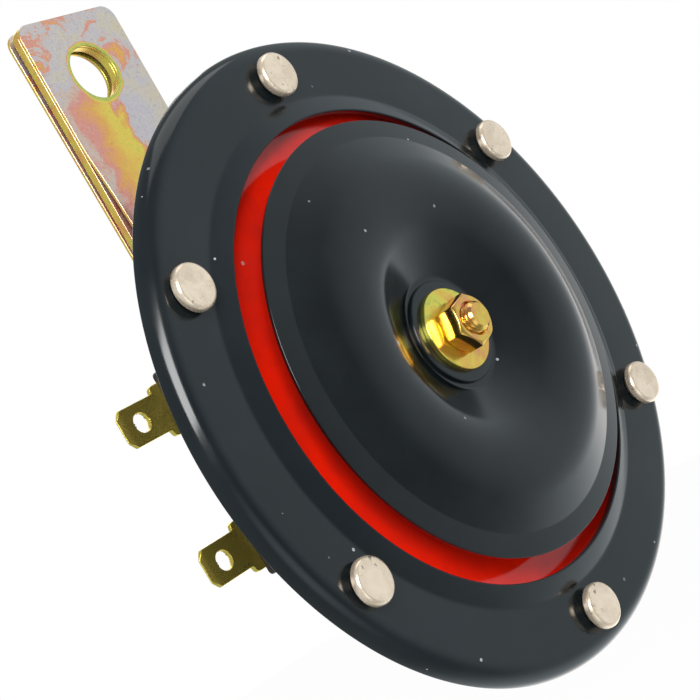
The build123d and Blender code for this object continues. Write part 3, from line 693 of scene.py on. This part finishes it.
facing = add_node(tree, "ShaderNodeSeparateXYZ", {"Vector": coordinates.outputs["Normal"]}).outputs["Y"]
sheared = scaled_range(tree, math_node(tree, "ABSOLUTE", facing), 0.75, 0.45)
edge_film = scaled_range(tree, noise(tree, where, 350.0, 4.0, 0.6), 0.3, 0.7, 0.52, 0.78)
connect(tree, tree.nodes[chromate_group.name], {"Film": mix_colour(tree, sheared, rimmed_film, edge_film)})

middle_front, middle_rear = leaf_low.y, leaf_high.y
thin_leaf = 0.6 * mm
for leaf_name, near, far in (
    ("front", lambda x, z: middle_front - thin_leaf - bowed(z), lambda x, z: middle_front - bowed(z)),
    ("middle", lambda x, z: middle_front, lambda x, z: middle_rear),
    ("rear", lambda x, z: middle_rear + flared(z), lambda x, z: middle_rear + thin_leaf + flared(z)),
):
    leaf_mesh = bmesh.new()
    sheet_piece(leaf_mesh, leaf_loops, near, far, punched_edge, leaf_fill_step)
    new_piece(
        f"plated_{leaf_name}_leaf", leaf_mesh, leaf_zinc, horn, "zinc_steel", f"bracket_{leaf_name}_leaf"
    )

# ---------------------------------------------------------------- Terminals
# Two brass spades stamped from 0.8 mm strip, each with a bevelled tip and a latch hole. They are riveted
# through a plate of black phenolic paper on the drum's back.

terminal_angle = radians(91.5)
terminal_spacing = 24 * mm
blade_front, blade_rear = (corner.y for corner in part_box("coil_terminal"))
shoulder_reach = 40.08 * mm
blade_length = 9.0 * mm
blade_half_width = 3.15 * mm
blade_corner = 1.3 * mm
blade_hole_radius = 1.65 * mm
blade_hole_from_tip = 4.35 * mm
tip_bevel_length = 0.95 * mm
tip_bevel_depth = 0.3 * mm
shoulder_half_width = 4.3 * mm
shoulder_round = 0.9 * mm
neck_round = 0.25 * mm
tip_round = 0.15 * mm
foot_start = 24.9 * mm
foot_round = 1.0 * mm
stamped_edge = 0.1 * mm
outline_step = 0.4 * mm
blade_fill_step = 0.32 * mm


def at_terminals(points, side=0.0):
    """Carry (reach, side) points to (x, z), turned to the terminals' direction."""
    carried = []
    for point in points:
        reach, across_reach = point[0], point[1] + side
        carried.append(Vector((
            -reach * sin(terminal_angle) - across_reach * cos(terminal_angle),
            axis_height + reach * cos(terminal_angle) - across_reach * sin(terminal_angle),
        )))
    return carried


brass = plating(
    "terminal_brass", (1.0, 0.80, 0.16), (0.84, 0.66, 0.12), 160.0, 0.24, 0.006 * mm,
    metal_share=0.9, pitting=0.1,
)
blade_tip = shoulder_reach + blade_length
blade_outline = rounded([
    (foot_start, shoulder_half_width, foot_round),
    (foot_start, -shoulder_half_width, foot_round),
    (shoulder_reach, -shoulder_half_width, shoulder_round),
    (shoulder_reach, -blade_half_width, neck_round),
    (blade_tip - blade_corner, -blade_half_width, tip_round),
    (blade_tip, -blade_half_width + blade_corner, tip_round),
    (blade_tip, blade_half_width - blade_corner, tip_round),
    (blade_tip - blade_corner, blade_half_width, tip_round),
    (shoulder_reach, blade_half_width, neck_round),
    (shoulder_reach, shoulder_half_width, shoulder_round),
], steps=5)
hole_centre = (blade_tip - blade_hole_from_tip, 0)
blade_hole = arc_points(hole_centre, blade_hole_radius, 2 * pi, 0, 48)[:-1]


def reach_of(x, z):
    """How far a point lies out along the terminals' direction."""
    return -x * sin(terminal_angle) + (z - axis_height) * cos(terminal_angle)


def tip_bevel(x, z):
    """How deep the bevel at the blade's tip cuts at a point."""
    return max(0.0, reach_of(x, z) - (blade_tip - tip_bevel_length)) * tip_bevel_depth / tip_bevel_length


for node, side in (("coil_terminal", terminal_spacing / 2), ("breaker_terminal", -terminal_spacing / 2)):
    blade = bmesh.new()
    sheet_piece(
        blade,
        [divided(at_terminals(blade_outline, side), outline_step), at_terminals(blade_hole, side)],
        lambda x, z: blade_front + tip_bevel(x, z),
        lambda x, z: blade_rear - tip_bevel(x, z),
        stamped_edge, blade_fill_step,
    )
    new_piece(f"stamped_{node}", blade, brass, horn, "spring_brass", node)
dress(brass, "terminal_rivets", "breaker_moving_arm", "breaker_fixed_arm")

phenolic, tree, shader = new_material("phenolic_paper")
layers = add_node(tree, "ShaderNodeMapping", {"Vector": object_place(tree), "Scale": (1.0, 12.0, 1.0)})
weave = noise(tree, layers.outputs["Vector"], 500.0, 4.0, 0.65)
connect(tree, shader, {
    "Base Color": colour_ramp(tree, weave, [(0.3, (0.010, 0.008, 0.007)), (0.75, (0.045, 0.033, 0.026))]),
    "Roughness": scaled_range(tree, weave, 0.2, 0.8, 0.35, 0.6),
})
bump(tree, shader, weave, 0.3, 0.02 * mm)
dress(
    phenolic, "terminal_insulator", "inner_terminal_insulator", "coil_bobbin", "breaker_base_insulator",
    "breaker_middle_insulator", "breaker_top_insulator",
)

# ---------------------------------------------------------------- Coil, armature and contact breaker
# Sealed inside the drum: enamelled copper wire wound on a bobbin, a soft-iron plunger and its washers, and
# silver contacts on brass arms, screwed to the drum's back.

copper, tree, shader = new_material("enamelled_copper", Metallic=1.0)
# The wave bands give the turns of wire their bumps, and also darken the copper's colour in the grooves
# between turns: painted shade.
turns_and_groove_shade = add_node(
    tree, "ShaderNodeTexWave", {"Vector": object_place(tree), "Scale": 900.0, "Distortion": 0.4},
    wave_type="BANDS", bands_direction="Y",
).outputs["Fac"]
connect(tree, shader, {
    "Base Color": colour_ramp(tree, turns_and_groove_shade, [(0.0, (0.20, 0.05, 0.02)), (1.0, (0.72, 0.28, 0.12))]),
    "Roughness": scaled_range(tree, turns_and_groove_shade, 0.0, 1.0, 0.5, 0.22),
})
bump(tree, shader, turns_and_groove_shade, 0.8, 0.15 * mm)
dress(copper, "coil_winding")

iron = plating("bright_iron", (0.62, 0.60, 0.57), (0.44, 0.42, 0.40), 200.0, 0.34, 0.03 * mm)
dress(iron, "armature", "rear_support_washer", "front_support_washer", "breaker_screws")
silver = plating("contact_silver", (0.86, 0.85, 0.82), (0.66, 0.65, 0.62), 700.0, 0.22, 0.01 * mm)
dress(silver, "moving_contact", "fixed_contact")

# ---------------------------------------------------------------- Tone disc
# A thin steel plate that rings with the diaphragm. It is pressed into a well that holds the nut's washers,
# a domed crown round it, a sharp crease and a narrow rim that leans back. It is enamelled like the ring.

disc_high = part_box("tone_disc")[1]
disc_radius = disc_high.x
disc_sheet = 0.8 * mm
disc_rim_width = 3.6 * mm
disc_crease_rise = 1.0 * mm
disc_crease_bend = 0.9 * mm
disc_dome_slope = radians(29.0)
disc_crown_bend = 14.0 * mm
disc_well_slope = radians(-28.0)
disc_seat_drop = 1.0 * mm
disc_seat_bend = 1.2 * mm
disc_seat_margin = 0.9 * mm
disc_edge_round = 0.15 * mm
disc_rounding_steps = 18
stud_bore = 2.55 * mm

disc_seat_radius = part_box("tone_disc_black_washer")[1].x + disc_seat_margin
disc_seat_front = disc_high.y - disc_sheet
disc_crease_radius = disc_radius - disc_rim_width
disc_crease_front = disc_seat_front - disc_seat_drop
disc_edge_front = disc_crease_front + disc_crease_rise
disc_rim_slope = atan2(disc_crease_rise, disc_rim_width)
disc_crown_radius = (
    disc_seat_drop - disc_seat_radius * tan(disc_well_slope) + disc_crease_radius * tan(disc_dome_slope)
) / (tan(disc_dome_slope) - tan(disc_well_slope))
disc_crown_front = disc_crease_front - (disc_crease_radius - disc_crown_radius) * tan(disc_dome_slope)


def behind(radius, depth, slope_before, slope_after):
    """The corner of the disc's rear face behind a corner of its front face."""
    middle = (slope_before + slope_after) / 2
    reach = disc_sheet / cos((slope_after - slope_before) / 2)
    return radius - reach * sin(middle), depth + reach * cos(middle)


disc_enamel = enamel("disc_enamel", (0.0015, 0.003, 0.0035), 0.6, 0.14, 0.012 * mm)
crease_rear = behind(disc_crease_radius, disc_crease_front, disc_dome_slope, disc_rim_slope)
crown_rear = behind(disc_crown_radius, disc_crown_front, disc_well_slope, disc_dome_slope)
seat_rear = behind(disc_seat_radius, disc_seat_front, 0, disc_well_slope)
turned(
    "enamelled_tone_disc",
    [
        (stud_bore, disc_seat_front),
        (disc_seat_radius, disc_seat_front, disc_seat_bend),
        (disc_crown_radius, disc_crown_front, disc_crown_bend),
        (disc_crease_radius, disc_crease_front, disc_crease_bend),
        (disc_radius, disc_edge_front, disc_edge_round),
        (*behind(disc_radius, disc_edge_front, disc_rim_slope, disc_rim_slope), disc_edge_round),
        (*crease_rear, disc_crease_bend + disc_sheet),
        (*crown_rear, disc_crown_bend - disc_sheet),
        (*seat_rear, disc_seat_bend + disc_sheet),
        (stud_bore, disc_high.y),
    ],
    disc_enamel, voice, "black_paint", "tone_disc", rounding_steps=disc_rounding_steps,
)

# ---------------------------------------------------------------- Tone disc washers
# A thin washer painted black, and a thicker zinc-plated one under the nut. Both are blanked, with a
# rolled edge on the punch side, and held on the stud by the nut.

washer_sharp_edge = 0.1 * mm
washer_steps = 192
for node, material, slot, edge in (
    ("tone_disc_black_washer", ring_enamel, "black_paint", 0.25 * mm),
    ("tone_disc_zinc_washer", zinc, "zinc_steel", 0.22 * mm),
):
    low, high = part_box(node)
    turned(
        f"blanked_{node}",
        [
            (stud_bore, low.y, washer_sharp_edge),
            (high.x, low.y, edge),
            (high.x, high.y, washer_sharp_edge),
            (stud_bore, high.y, washer_sharp_edge),
        ],
        material, voice, slot, node, steps=washer_steps,
    )

# ---------------------------------------------------------------- Tone disc nut
# A cold-formed M5 hexagon nut, chamfered at both ends, in bright yellow zinc. It is screwed down on the
# stud and clamps the tone disc and its washers.

nut_low, nut_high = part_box("tone_disc_nut")
nut_front, nut_rear = nut_low.y, nut_high.y
nut_flats = 8.0 * mm
nut_angle = radians(47.0)
nut_face_radius = 0.475 * nut_flats
nut_corner_round = 0.22 * mm
nut_chamfer = radians(30)
nut_bore_chamfer = 0.45 * mm
nut_steps_per_flat = 24

nut_zinc = chromate("zinc_nut", 0.56, 0.6, 200.0, 0.15, 0.008 * mm, 1.0)
nut_corner_radius = nut_flats / sqrt(3)
hexagon = rounded([
    (
        nut_corner_radius * -sin(nut_angle + pi / 3 * corner),
        nut_corner_radius * cos(nut_angle + pi / 3 * corner),
        nut_corner_round,
    )
    for corner in range(6)
], steps=6)
hexagon = divided(hexagon, nut_corner_radius / nut_steps_per_flat)


def nut_row(y, radius_of):
    """One row of a nut's points, at radii that follow its outline."""
    row = []
    for point in hexagon:
        radius = radius_of(point.length)
        row.append((point.x / point.length * radius, y(point.length), point.y / point.length * radius))
    return row


def chamfer_drop(radius):
    """How far the chamfer has dropped at a radius."""
    return max(0.0, radius - nut_face_radius) * tan(nut_chamfer)


edge_soft = 0.06 * mm
edge_dip = edge_soft * 0.3
edge_pull = edge_soft * 0.8
nut_rows = [
    nut_row(lambda r: nut_front + nut_bore_chamfer, lambda r: stud_bore),
    nut_row(lambda r: nut_front, lambda r: stud_bore + nut_bore_chamfer),
    nut_row(lambda r: nut_front, lambda r: nut_face_radius - edge_soft),
    nut_row(lambda r: nut_front + edge_dip, lambda r: min(r, nut_face_radius + edge_soft)),
    nut_row(lambda r: nut_front + chamfer_drop(r) - edge_dip, lambda r: r - edge_pull),
    nut_row(lambda r: nut_front + chamfer_drop(r) + edge_soft, lambda r: r),
    nut_row(lambda r: nut_rear - chamfer_drop(r) - edge_soft, lambda r: r),
    nut_row(lambda r: nut_rear - chamfer_drop(r) + edge_dip, lambda r: r - edge_pull),
    nut_row(lambda r: nut_rear, lambda r: nut_face_radius),
    nut_row(lambda r: nut_rear, lambda r: stud_bore),
]


def join_rows(mesh_data, rows, closed=True):
    """Faces between rows of points, and between the last row and the first where it closes on itself."""
    made = [[mesh_data.verts.new((x, y, axis_height + z)) for x, y, z in row] for row in rows]
    pairs = list(zip(made, made[1:])) + ([(made[-1], made[0])] if closed else [])
    for above, below in pairs:
        for number in range(len(above)):
            after = (number + 1) % len(above)
            mesh_data.faces.new([above[number], above[after], below[after], below[number]])


nut_mesh = bmesh.new()
join_rows(nut_mesh, nut_rows)
new_piece("hexagon_tone_disc_nut", nut_mesh, nut_zinc, voice, "zinc_steel", "tone_disc_nut")

# ---------------------------------------------------------------- Armature stud
# An M5 steel stud in the plunger's end, with a rolled thread and a chamfered end, in the nut's yellow zinc.
# It stands 1.4 mm out of the nut.

stud_low, stud_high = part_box("armature_stud")
stud_radius = stud_high.x
thread_pitch = 0.8 * mm
thread_depth = 0.42 * mm
thread_steepness = 1.35
stud_end_chamfer = 0.5 * mm
stud_steps = 96
rows_per_turn = 14
stud_length = stud_high.y - stud_low.y


def thread_radius(y, turn):
    """Radius of a rolled thread's flank at a place along the stud and a share of a turn."""
    phase = ((y - stud_low.y) / thread_pitch - turn) % 1.0
    flank = 1 - abs(2 * phase - 1)
    crest = min(1.0, flank * thread_steepness)
    limit = stud_radius - stud_end_chamfer + (y - stud_low.y)
    return min(stud_radius - thread_depth * (1 - crest), limit)


stud_mesh = bmesh.new()
row_count = int(stud_length / thread_pitch * rows_per_turn)
stud_rows = [[(0.0, stud_low.y, 0.0)] * stud_steps]
for row in range(row_count + 1):
    y = stud_low.y + stud_length * row / row_count
    stud_rows.append([
        (
            thread_radius(y, step / stud_steps) * sin(2 * pi * step / stud_steps),
            y,
            thread_radius(y, step / stud_steps) * cos(2 * pi * step / stud_steps),
        )
        for step in range(stud_steps)
    ])
stud_rows.append([(0.0, stud_high.y, 0.0)] * stud_steps)
join_rows(stud_mesh, stud_rows, closed=False)
new_piece("threaded_armature_stud", stud_mesh, nut_zinc, voice, "zinc_steel", "armature_stud")

# ---------------------------------------------------------------- Floor, world and lamps
# A plain pale floor well below the horn, a surround that the camera sees as plain white, and soft studio
# lamps. Mirrors see no floor, so that the enamel reflects only the surround.

low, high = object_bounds()
horn_centre = Vector((0.0, (low.y + high.y) / 2, axis_height))
floor_drop = 0.16
floor_reach = 2.0
floor_height = low.z - floor_drop
shadow_share = 0.97
fill_level = 0.48


def ray_masks(tree):
    """Two masks: the camera's own rays, and those of the camera, mirrors and glass together."""
    path = add_node(tree, "ShaderNodeLightPath")
    camera_ray = path.outputs["Is Camera Ray"]
    glossy_ray, glass_ray = path.outputs["Is Glossy Ray"], path.outputs["Is Transmission Ray"]
    reflected_ray = math_node(tree, "MAXIMUM", glossy_ray, glass_ray)
    return camera_ray, math_node(tree, "MAXIMUM", camera_ray, reflected_ray)


floor_mesh = bpy.data.meshes.new("floor")
floor_mesh.from_pydata(
    [(x * floor_reach, y * floor_reach, floor_height) for x, y in ((-1, -1), (1, -1), (1, 1), (-1, 1))],
    [], [(0, 1, 2, 3)],
)
floor = bpy.data.objects.new("floor", floor_mesh)
bpy.context.scene.collection.objects.link(floor)
floor_material, tree, shader = new_material("pale_floor", Roughness=0.9, Specular_IOR_Level=0.0)
shader.inputs["Base Color"].default_value = (0.86, 0.86, 0.86, 1.0)
_, seen = ray_masks(tree)
white = add_node(tree, "ShaderNodeEmission", {"Color": (1.0, 1.0, 1.0, 1.0), "Strength": 1.0})
blend_floor = add_node(tree, "ShaderNodeMixShader", {
    0: math_node(tree, "MULTIPLY", seen, shadow_share), 1: shader.outputs[0], 2: white.outputs[0],
})
connect(tree, tree.nodes["Material Output"], {"Surface": blend_floor.outputs[0]})
floor_mesh.materials.append(floor_material)
floor.visible_glossy = False

world = bpy.data.worlds.new("studio")
bpy.context.scene.world = world
world.use_nodes = True
tree = world.node_tree
camera_ray, seen = ray_masks(tree)
direction = add_node(tree, "ShaderNodeTexCoord").outputs["Generated"]


def toward(azimuth, elevation):
    """A direction from the horn. Azimuth 0 is the horn's front, and it grows to the right."""
    turn, lift = radians(azimuth), radians(elevation)
    return Vector((sin(turn) * cos(lift), -cos(turn) * cos(lift), sin(lift)))


def screen_level(azimuth, elevation, stops, tint=(0.90, 1.0, 1.06)):
    """Light around a direction, from (cosine of the angle from it, level) stops."""
    values = {0: direction, 1: toward(azimuth, elevation)}
    facing = add_node(tree, "ShaderNodeVectorMath", values, operation="DOT_PRODUCT").outputs["Value"]
    return colour_ramp(tree, scaled_range(tree, facing, -1.0, 1.0), [
        ((cosine + 1) / 2, tuple(channel * level for channel in tint)) for cosine, level in stops
    ])


# Mirrors see a broad cool-white screen in front and to the right among dimmer surroundings. They also see
# three smaller lit places: the table low on the right, a spot low on the left and a warm wall at the right.
mirrored = screen_level(58, 5, [
    (-1.0, 0.45), (0.0, 0.30), (0.37, 0.26), (0.53, 0.29),
    (0.68, 0.43), (0.79, 0.57), (0.91, 0.67), (1.0, 0.70),
])
table = screen_level(108, -48, [(0.64, 0.0), (0.77, 0.15), (0.84, 0.40), (0.90, 0.62), (0.96, 0.75)])
low_left = screen_level(-34, -30, [(0.90, 0.0), (0.96, 0.4), (1.0, 0.8)])
warm_wall = screen_level(120, -12, [(0.74, 0.0), (0.86, 0.3), (0.95, 0.9), (1.0, 1.25)], (1.10, 1.0, 0.92))
for lit_place in (table, low_left, warm_wall):
    mirrored = add_node(
        tree, "ShaderNodeMix", {0: 1.0, 6: mirrored, 7: lit_place}, data_type="RGBA", blend_type="ADD"
    ).outputs[2]
around = mix_colour(tree, camera_ray, mirrored, (1.0, 1.0, 1.0, 1.0))
backdrop = tree.nodes["Background"]
fill = (fill_level, fill_level, fill_level, 1.0)
connect(tree, backdrop, {"Color": mix_colour(tree, seen, fill, around)})
backdrop.inputs["Strength"].default_value = 1.0


def soft_box(name, azimuth, elevation, distance, width, height, radiance):
    """A soft box lamp aimed at the horn."""
    lamp = bpy.data.lights.new(name, "AREA")
    lamp.shape = "RECTANGLE"
    lamp.size, lamp.size_y = width, height
    lamp.energy = radiance * pi * width * height
    holder = bpy.data.objects.new(name, lamp)
    away = toward(azimuth, elevation)
    holder.location = horn_centre + away * distance
    holder.rotation_euler = away.to_track_quat("Z", "Y").to_euler()
    holder.visible_camera = False
    bpy.context.scene.collection.objects.link(holder)


soft_box("key", -45, 22, 0.7, 0.42, 0.30, 11.5)
soft_box("top_fill", 60, 70, 0.9, 0.6, 0.6, 1.0)
soft_box("back_fill", 150, 25, 0.9, 0.6, 0.6, 1.6)

# ---------------------------------------------------------------- Camera
# It stands in front of the horn, to the left and about level with its axis, and is rolled so that the
# bracket leans.

camera_data = bpy.data.cameras.new("camera")
camera_data.sensor_width = 36.0
camera_data.lens = 109.98
camera_data.clip_start = 0.02
camera_data.clip_end = 20.0
camera = bpy.data.objects.new("camera", camera_data)
camera.location = (-0.26926, -0.24548, -0.08046)
camera.rotation_euler = (radians(93.1206), radians(29.9876), radians(-48.4474))
bpy.context.scene.collection.objects.link(camera)
bpy.context.scene.camera = camera
bpy.context.scene.view_settings.view_transform = "Standard"
